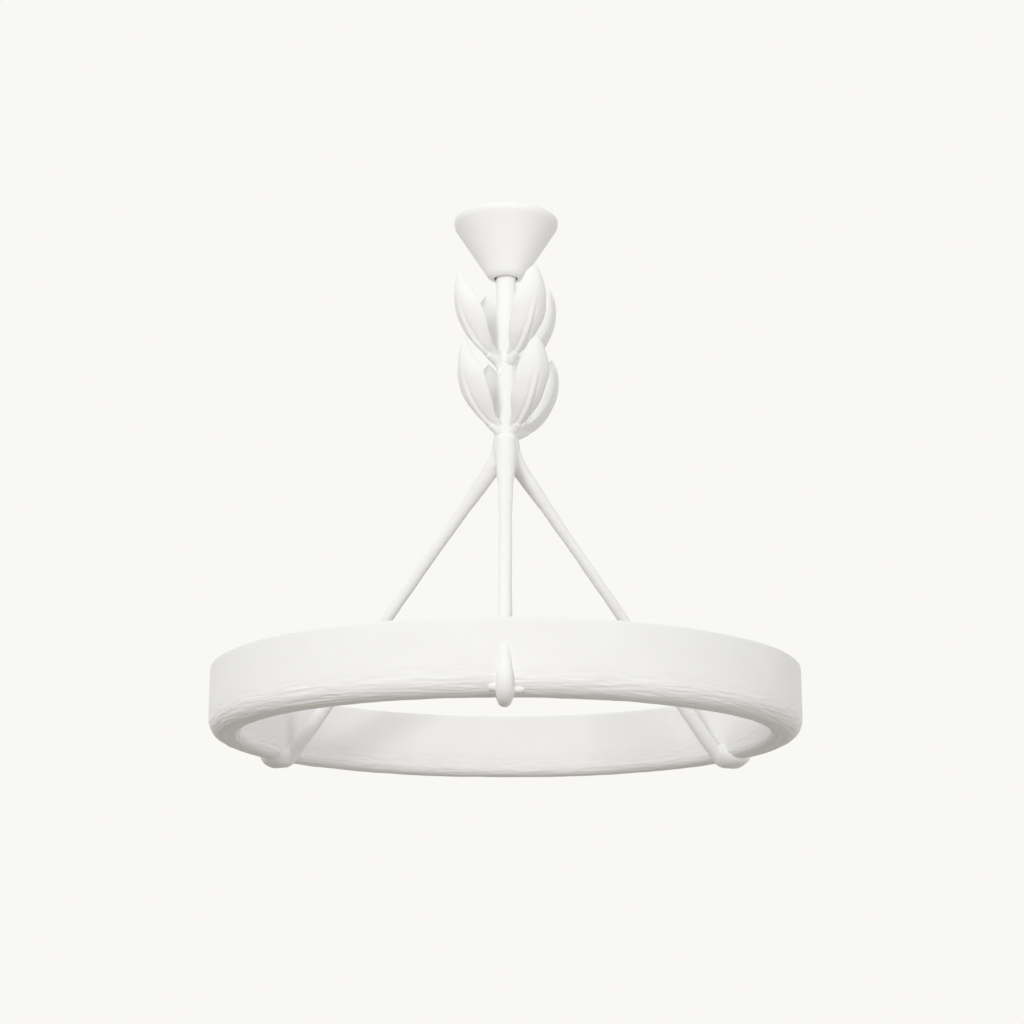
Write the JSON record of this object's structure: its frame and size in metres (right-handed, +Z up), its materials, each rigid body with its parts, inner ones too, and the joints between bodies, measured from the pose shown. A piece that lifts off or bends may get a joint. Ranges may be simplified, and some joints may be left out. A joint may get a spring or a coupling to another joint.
{
  "type": "plaster ring chandelier",
  "caption": "Hanging plaster ring uplight on sloping hooked arms, with a leafy stem and a cone-shaped ceiling canopy that slides down for wiring.",
  "frame": {"origin": "centre of the ceiling plate's top face, on the ceiling", "axes": "+Z up, the front arm points to -Y"},
  "size_m": [0.764, 0.7755, 0.735],
  "materials": {
    "plaster": "matte hand-trowelled plaster",
    "plaster_on_steel": "matte hand-smoothed plaster coat on a steel core",
    "canopy_paint": "matte white",
    "zinc_steel": "zinc plated",
    "brass": "plain",
    "nylon": "moulded",
    "driver_plastic": "moulded",
    "black_rubber": "moulded",
    "lead_sheath": "sheathed",
    "tray_aluminium": "mill",
    "board_lacquer": "white lacquer",
    "lamp_phosphor": "plain",
    "opal": "satin opal"
  },
  "bodies": {
    "ceiling_mount": {"ceiling_plate": "zinc_steel", "hanger_nipple": "zinc_steel", "lock_nut": "zinc_steel", "swivel_nut": "zinc_steel", "swivel_washer": "nylon", "supply_bush": "black_rubber", "earth_screw": "brass", "driver_case": "driver_plastic", "driver_screws": "zinc_steel", "terminal_block": "nylon", "terminal_screws": "zinc_steel", "driver_lead": "lead_sheath", "mains_lead": "lead_sheath"},
    "canopy": {"canopy_shell": "canopy_paint", "canopy_grub_screws": "zinc_steel"},
    "swivel": {"swivel_yoke": "zinc_steel", "trunnion_screws": "zinc_steel"},
    "fixture": {"swivel_barrel": "zinc_steel", "stem_tube": "plaster_on_steel", "stem_splice": "nylon", "stem_lead": "lead_sheath", "upper_leaf_front_left": "plaster", "upper_leaf_front_right": "plaster", "upper_leaf_back_right": "plaster", "upper_leaf_back_left": "plaster", "lower_leaf_front_left": "plaster", "lower_leaf_front_right": "plaster", "lower_leaf_back_right": "plaster", "lower_leaf_back_left": "plaster", "branch_hub": "plaster_on_steel", "arm_1": "plaster_on_steel", "arm_2": "plaster_on_steel", "arm_3": "plaster_on_steel", "lamp_leads": "lead_sheath", "ring_trough": "plaster", "lead_bushes": "black_rubber", "led_tray": "tray_aluminium", "led_boards": "board_lacquer", "board_screws": "zinc_steel", "led_chips": "lamp_phosphor", "diffuser_1": "opal", "diffuser_2": "opal", "diffuser_3": "opal"}
  },
  "joints": [
    {"name": "canopy_slide", "type": "slide", "parent": "ceiling_mount", "child": "canopy", "axis": [0, 0, -1], "range_m": [0, 0.05]},
    {"name": "swivel_turn", "type": "hinge", "parent": "ceiling_mount", "child": "swivel", "pos_m": [0, 0, -0.0173], "axis": [0, 0, 1], "range_deg": [-175, 175]},
    {"name": "stem_sway", "type": "hinge", "parent": "swivel", "child": "fixture", "pos_m": [0, 0, -0.052], "axis": [1, 0, 0], "range_deg": [-1.5, 1.5]}
  ]
}
